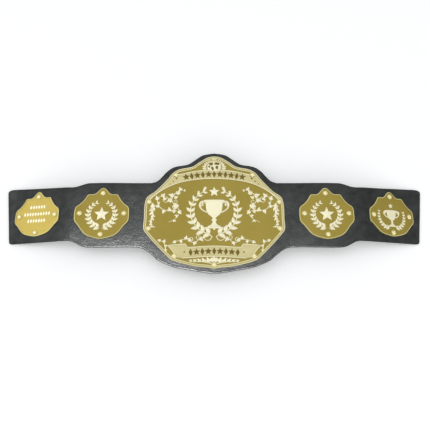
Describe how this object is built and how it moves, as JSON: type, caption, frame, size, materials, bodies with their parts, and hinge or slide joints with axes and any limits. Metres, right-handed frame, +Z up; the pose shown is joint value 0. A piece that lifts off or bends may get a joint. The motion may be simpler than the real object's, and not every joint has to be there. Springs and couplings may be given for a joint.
{
  "type": "championship title belt",
  "caption": "Wide black leather title belt lying open, with a large crested gold plate, four side plates and domed screws.",
  "frame": {"origin": "on the surface that the belt lies on, under the middle of its bounding box", "axes": "+X along the belt to the right as the picture shows it, +Y towards the crown of the main plate, +Z up out of the belt's face"},
  "size_m": [0.846, 0.2502, 0.0354],
  "materials": {
    "leather": "black, fine grain, soft gloss",
    "gold_plate": "gold-plated, satin ground and bright relief",
    "screw_brass": "polished",
    "stud_nickel": "nickel-plated"
  },
  "bodies": {
    "root": {"strap": "leather", "main_plate": "gold_plate", "main_screw_1": "screw_brass", "main_screw_2": "screw_brass", "main_screw_3": "screw_brass", "main_screw_4": "screw_brass", "main_screw_5": "screw_brass", "main_screw_6": "screw_brass", "main_screw_7": "screw_brass", "main_screw_8": "screw_brass", "main_screw_9": "screw_brass", "inner_left_plate": "gold_plate", "inner_left_screw_1": "screw_brass", "inner_left_screw_2": "screw_brass", "inner_left_screw_3": "screw_brass", "inner_left_screw_4": "screw_brass", "inner_right_plate": "gold_plate", "inner_right_screw_1": "screw_brass", "inner_right_screw_2": "screw_brass", "inner_right_screw_3": "screw_brass", "inner_right_screw_4": "screw_brass", "outer_left_plate": "gold_plate", "outer_left_screw_1": "screw_brass", "outer_left_screw_2": "screw_brass", "outer_left_screw_3": "screw_brass", "outer_left_screw_4": "screw_brass", "outer_right_plate": "gold_plate", "outer_right_screw_1": "screw_brass", "outer_right_screw_2": "screw_brass", "outer_right_screw_3": "screw_brass", "outer_right_screw_4": "screw_brass", "stud_left_upper": "stud_nickel", "stud_left_lower": "stud_nickel", "stud_right_upper": "stud_nickel", "stud_right_lower": "stud_nickel"}
  },
  "joints": []
}
